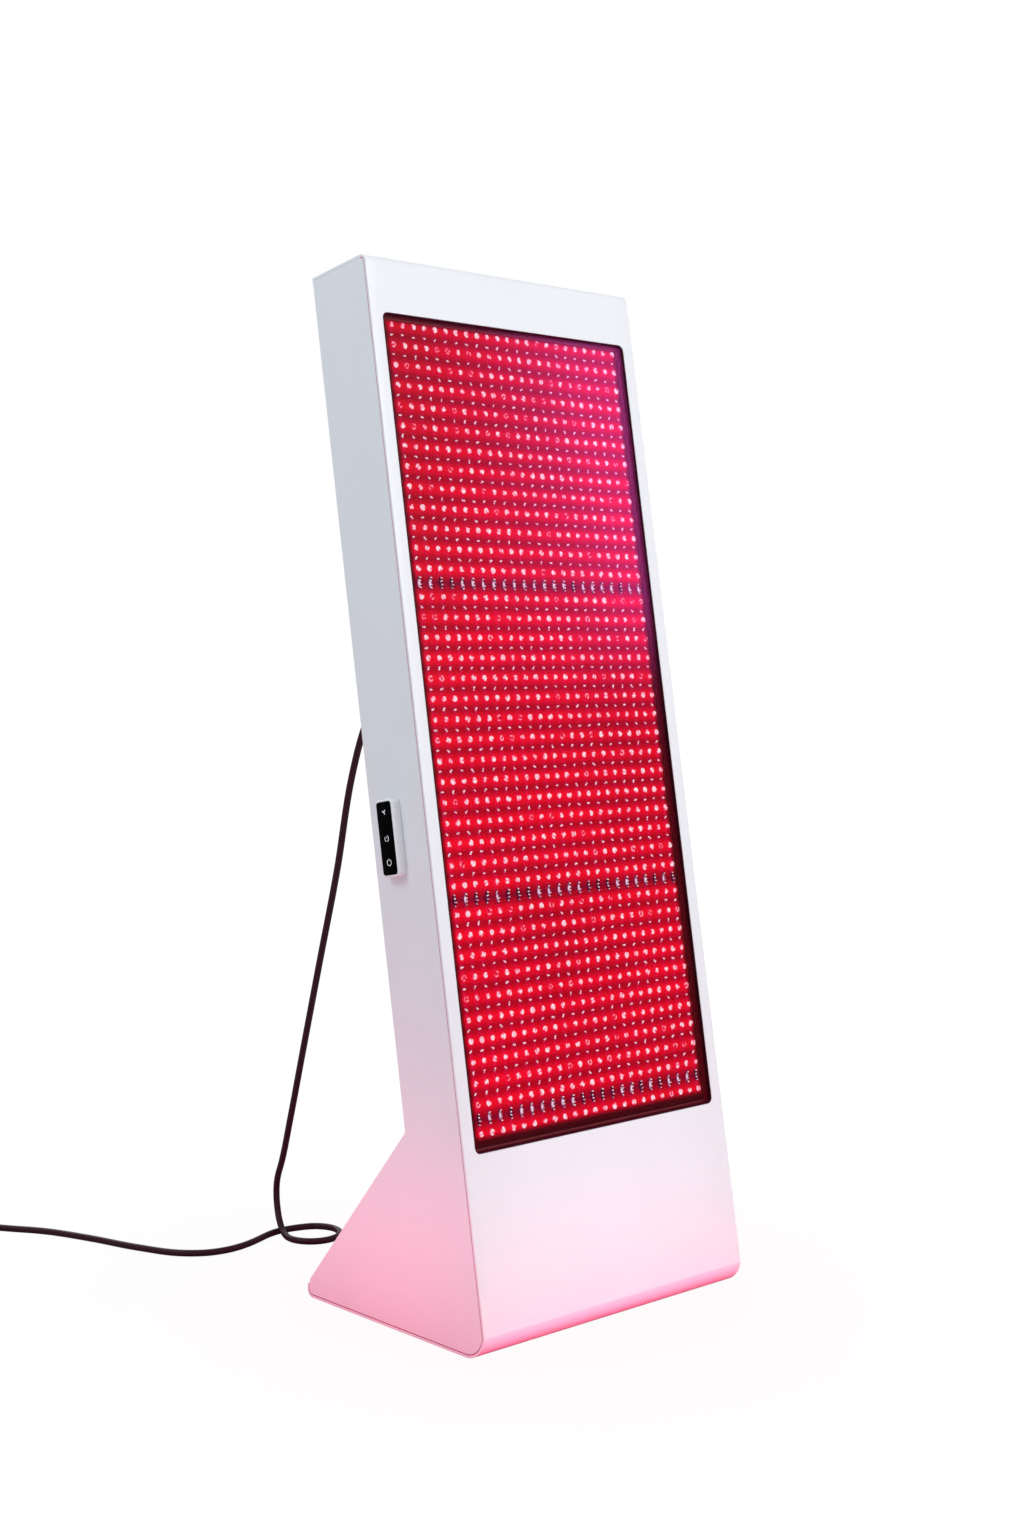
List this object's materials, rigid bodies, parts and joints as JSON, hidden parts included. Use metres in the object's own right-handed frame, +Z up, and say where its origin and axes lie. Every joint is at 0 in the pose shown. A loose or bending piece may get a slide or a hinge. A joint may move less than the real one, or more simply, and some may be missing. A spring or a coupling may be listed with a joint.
{
  "type": "red light therapy panel",
  "caption": "Tall leaning floor panel of red lights in a bent white metal casing with a wedge foot, side touch pod, fans and rear mains cord.",
  "frame": {"origin": "middle of the footprint on the floor, under the casing without its cord", "axes": "+Z up, the lit face looks towards -Y and leans back towards +Y, +X to the right seen from the front"},
  "size_m": [0.6068, 0.7744, 1.0508],
  "materials": {
    "white_paint": "satin powder coat",
    "white_plastic": "semi-gloss moulded",
    "black_plastic": "fine matt moulded",
    "black_rubber": "matt",
    "clear_acrylic": "polished clear sheet",
    "black_glass": "polished black touch glass",
    "board_red": "dark red solder mask",
    "red_lens": "clear moulded lens, lit red",
    "board_green": "solder mask",
    "aluminium": "plain extruded",
    "zinc_steel": "zinc plated",
    "cord_jacket": "smooth satin jacket",
    "wire_jacket": "sleeved cable"
  },
  "bodies": {
    "panel": {"front_shell": "white_paint", "side_plate_left": "white_paint", "side_plate_right": "white_paint", "rear_cover": "white_paint", "foot_cover": "white_paint", "control_pod": "white_plastic", "recess_frame": "black_plastic", "fan_frame_lower": "black_plastic", "fan_frame_upper": "black_plastic", "mains_inlet": "black_plastic", "switch_bezel": "black_plastic", "cord_connector": "black_plastic", "mains_plug": "black_plastic", "window_gasket": "black_rubber", "connector_relief": "black_rubber", "coil_tie": "black_rubber", "rubber_foot_front_left": "black_rubber", "rubber_foot_front_right": "black_rubber", "rubber_foot_rear_left": "black_rubber", "rubber_foot_rear_right": "black_rubber", "clear_pane": "clear_acrylic", "touch_glass": "black_glass", "light_board_lower": "board_red", "light_board_middle": "board_red", "light_board_upper": "board_red", "lens_plate_lower": "red_lens", "lens_plate_middle": "red_lens", "lens_plate_upper": "red_lens", "control_board": "board_green", "touch_board": "board_green", "heat_sink_lower": "aluminium", "heat_sink_middle": "aluminium", "heat_sink_upper": "aluminium", "led_driver_left": "aluminium", "led_driver_right": "aluminium", "chassis_rail_left": "zinc_steel", "chassis_rail_right": "zinc_steel", "cross_bar_lower": "zinc_steel", "cross_bar_middle": "zinc_steel", "board_bracket": "zinc_steel", "ballast_plate": "zinc_steel", "ballast_bolt_left": "zinc_steel", "ballast_bolt_right": "zinc_steel", "foot_gusset_left": "zinc_steel", "foot_gusset_right": "zinc_steel", "rear_cover_screw_1": "zinc_steel", "rear_cover_screw_2": "zinc_steel", "rear_cover_screw_3": "zinc_steel", "rear_cover_screw_4": "zinc_steel", "rear_cover_screw_5": "zinc_steel", "rear_cover_screw_6": "zinc_steel", "mains_cord": "cord_jacket", "cord_coil": "cord_jacket", "pod_cable": "wire_jacket", "mains_harness": "wire_jacket", "fan_harness": "wire_jacket"},
    "rocker": {"power_rocker": "black_plastic"},
    "rotor_lower": {"fan_rotor_lower": "black_plastic"},
    "rotor_upper": {"fan_rotor_upper": "black_plastic"}
  },
  "joints": [
    {"name": "power_rocker_tilt", "type": "hinge", "parent": "panel", "child": "rocker", "pos_m": [-0.0559, 0.051, 0.63163], "axis": [1, 0, 0], "range_deg": [-20, 0]},
    {"name": "fan_lower_spin", "type": "hinge", "parent": "panel", "child": "rotor_lower", "pos_m": [0.0051, 0.05662, 0.75479], "axis": [0, 0.986, -0.1668], "continuous": true},
    {"name": "fan_upper_spin", "type": "hinge", "parent": "panel", "child": "rotor_upper", "pos_m": [0.0051, 0.08166, 0.90285], "axis": [0, 0.986, -0.1668], "continuous": true}
  ]
}
